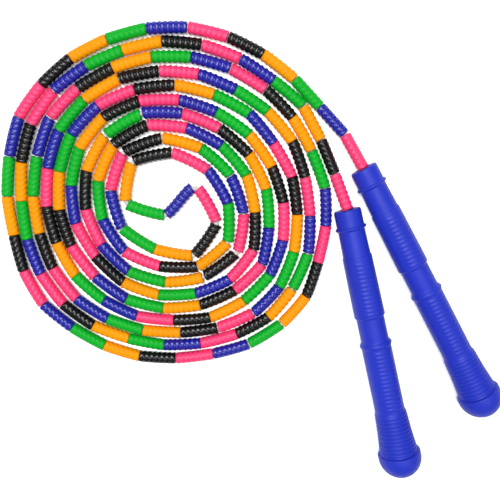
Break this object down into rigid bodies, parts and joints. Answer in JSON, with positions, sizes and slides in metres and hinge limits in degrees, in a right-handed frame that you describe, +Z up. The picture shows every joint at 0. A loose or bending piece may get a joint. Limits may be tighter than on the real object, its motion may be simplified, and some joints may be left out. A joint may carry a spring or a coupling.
{
  "type": "jump rope",
  "caption": "Beaded jump rope with two blue ribbed plastic handles, its multicoloured rope laid flat in a doubled spiral.",
  "frame": {"origin": "on the floor, under the middle of the outer box of the two handles", "axes": "+Z up from the floor that the rope lies on, +Y along the handles from their knobs toward their mouths, +X to the side away from the rope's spiral"},
  "size_m": [0.3476, 0.3174, 0.0308],
  "materials": {
    "handle_blue": "satin moulded plastic",
    "bead_pink": "satin",
    "bead_blue": "satin",
    "bead_green": "satin",
    "bead_orange": "satin",
    "bead_black": "satin",
    "cord_white": "braided nylon",
    "washer_nylon": "plain"
  },
  "bodies": {
    "rope": {"bead_run_01": "bead_blue", "bead_run_02": "bead_green", "bead_run_03": "bead_orange", "bead_run_04": "bead_black", "bead_run_05": "bead_pink", "bead_run_06": "bead_blue", "bead_run_07": "bead_green", "bead_run_08": "bead_orange", "bead_run_09": "bead_black", "bead_run_10": "bead_pink", "bead_run_11": "bead_blue", "bead_run_12": "bead_green", "bead_run_13": "bead_orange", "bead_run_14": "bead_black", "bead_run_15": "bead_pink", "bead_run_16": "bead_blue", "bead_run_17": "bead_green", "bead_run_18": "bead_orange", "bead_run_19": "bead_black", "bead_run_20": "bead_pink", "bead_run_21": "bead_blue", "bead_run_22": "bead_green", "bead_run_23": "bead_orange", "bead_run_24": "bead_black", "bead_run_25": "bead_pink", "bead_run_26": "bead_blue", "bead_run_27": "bead_green", "bead_run_28": "bead_orange", "bead_run_29": "bead_black", "bead_run_30": "bead_pink", "bead_run_31": "bead_blue", "bead_run_32": "bead_green", "bead_run_33": "bead_orange", "lead_cord_a": "cord_white", "lead_cord_b": "cord_white"},
    "cord_end_a": {"cord_tail_a": "cord_white", "stop_knot_a": "cord_white", "thrust_washer_a": "washer_nylon"},
    "handle_a": {"grip_a": "handle_blue", "end_knob_a": "handle_blue"},
    "lead_bead_a1_body": {"lead_bead_a1": "bead_pink"},
    "lead_bead_a2_body": {"lead_bead_a2": "bead_blue"},
    "lead_bead_a3_body": {"lead_bead_a3": "bead_green"},
    "cord_end_b": {"cord_tail_b": "cord_white", "stop_knot_b": "cord_white", "thrust_washer_b": "washer_nylon"},
    "handle_b": {"grip_b": "handle_blue", "end_knob_b": "handle_blue"},
    "lead_bead_b1_body": {"lead_bead_b1": "bead_pink"},
    "lead_bead_b2_body": {"lead_bead_b2": "bead_black"},
    "lead_bead_b3_body": {"lead_bead_b3": "bead_orange"}
  },
  "joints": [
    {"name": "handle_a_swing", "type": "hinge", "parent": "rope", "child": "cord_end_a", "pos_m": [-0.0421, 0.1099, 0.01013], "axis": [0, 0, 1], "range_deg": [-5, 18]},
    {"name": "handle_a_spin", "type": "hinge", "parent": "cord_end_a", "child": "handle_a", "pos_m": [-0.0421, 0.1099, 0.01013], "axis": [0.4754, -0.8793, 0.0287], "continuous": true},
    {"name": "lead_bead_a1_spin", "type": "hinge", "parent": "rope", "child": "lead_bead_a1_body", "pos_m": [-0.04821, 0.12128, 0.00782], "axis": [-0.4746, 0.8622, -0.177], "continuous": true},
    {"name": "lead_bead_a2_spin", "type": "hinge", "parent": "rope", "child": "lead_bead_a2_body", "pos_m": [-0.06315, 0.14193, 0.00487], "axis": [-0.6808, 0.7308, -0.0498], "continuous": true},
    {"name": "lead_bead_a3_spin", "type": "hinge", "parent": "rope", "child": "lead_bead_a3_body", "pos_m": [-0.08029, 0.16011, 0.00425], "axis": [-0.6903, 0.7235, 0.0002], "continuous": true},
    {"name": "handle_b_swing", "type": "hinge", "parent": "rope", "child": "cord_end_b", "pos_m": [-0.0524, 0.0818, 0.01013], "axis": [0, 0, 1], "range_deg": [-12, 5]},
    {"name": "handle_b_spin", "type": "hinge", "parent": "cord_end_b", "child": "handle_b", "pos_m": [-0.0524, 0.0818, 0.01013], "axis": [0.2283, -0.9732, 0.0287], "continuous": true},
    {"name": "lead_bead_b1_spin", "type": "hinge", "parent": "rope", "child": "lead_bead_b1_body", "pos_m": [-0.05635, 0.09407, 0.00781], "axis": [0.3336, -0.9257, 0.1785], "continuous": true},
    {"name": "lead_bead_b2_spin", "type": "hinge", "parent": "rope", "child": "lead_bead_b2_body", "pos_m": [-0.06554, 0.11752, 0.00488], "axis": [0.3896, -0.9196, 0.0508], "continuous": true},
    {"name": "lead_bead_b3_spin", "type": "hinge", "parent": "rope", "child": "lead_bead_b3_body", "pos_m": [-0.07668, 0.14029, 0.00425], "axis": [0.487, -0.8734, -0.0004], "continuous": true}
  ]
}
